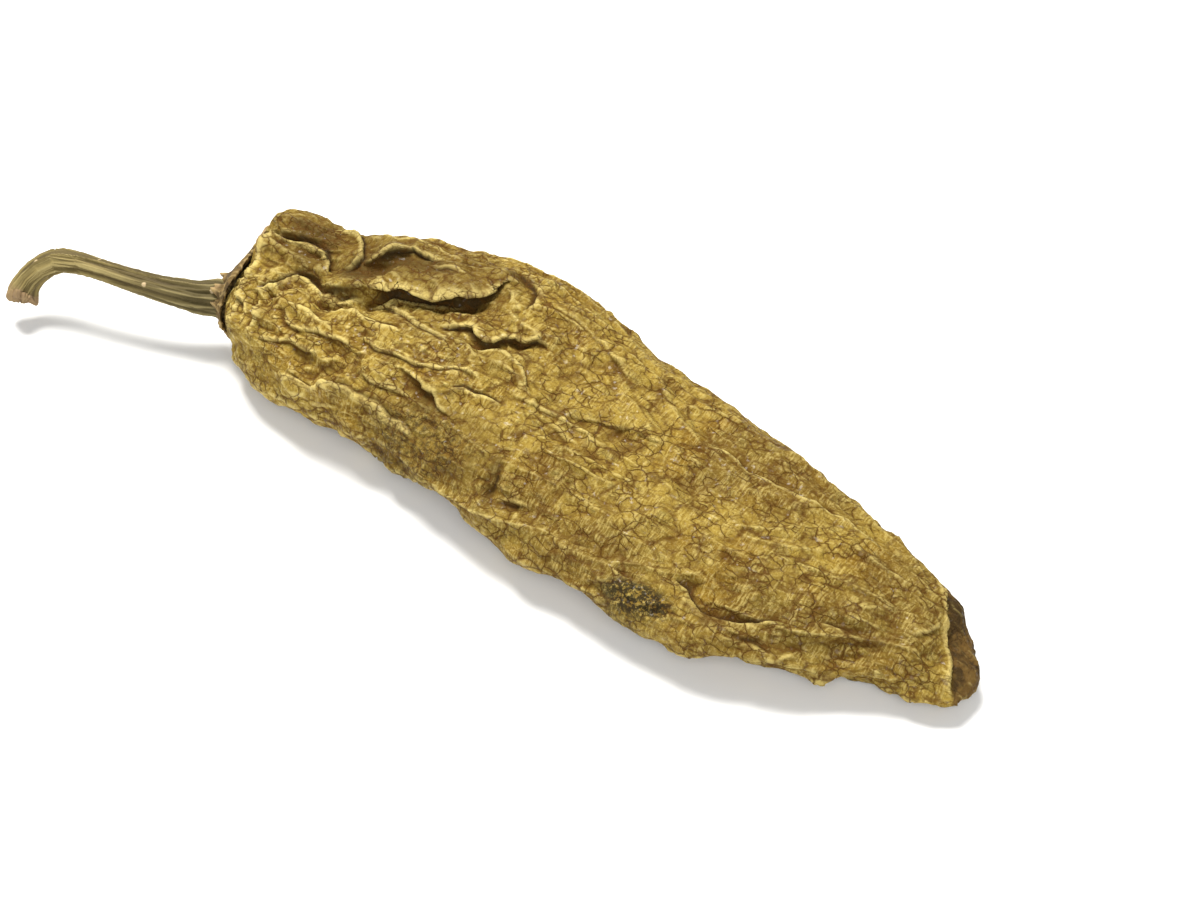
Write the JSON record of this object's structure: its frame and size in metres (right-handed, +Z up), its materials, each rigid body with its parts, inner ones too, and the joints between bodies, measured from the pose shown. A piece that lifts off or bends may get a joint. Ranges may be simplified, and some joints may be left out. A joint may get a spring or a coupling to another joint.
{
  "type": "dried chilli pepper",
  "caption": "Flattened, deeply wrinkled smoke-dried chilli pod lying on its side, with a ragged calyx cap and a hooked stem.",
  "frame": {"origin": "centre of the whole chilli's bounding box, on the floor it lies on", "axes": "+X along the pod from the stem end to the tip, +Z up through the wide side that shows, +Y across"},
  "size_m": [0.1276, 0.0388, 0.0169],
  "materials": {
    "pod_skin": "dry, corky and finely cracked, with small glossy specks",
    "calyx": "dry and papery",
    "stem": "dry, grooved"
  },
  "bodies": {
    "root": {"pod": "pod_skin", "calyx": "calyx", "stem": "stem"}
  },
  "joints": []
}
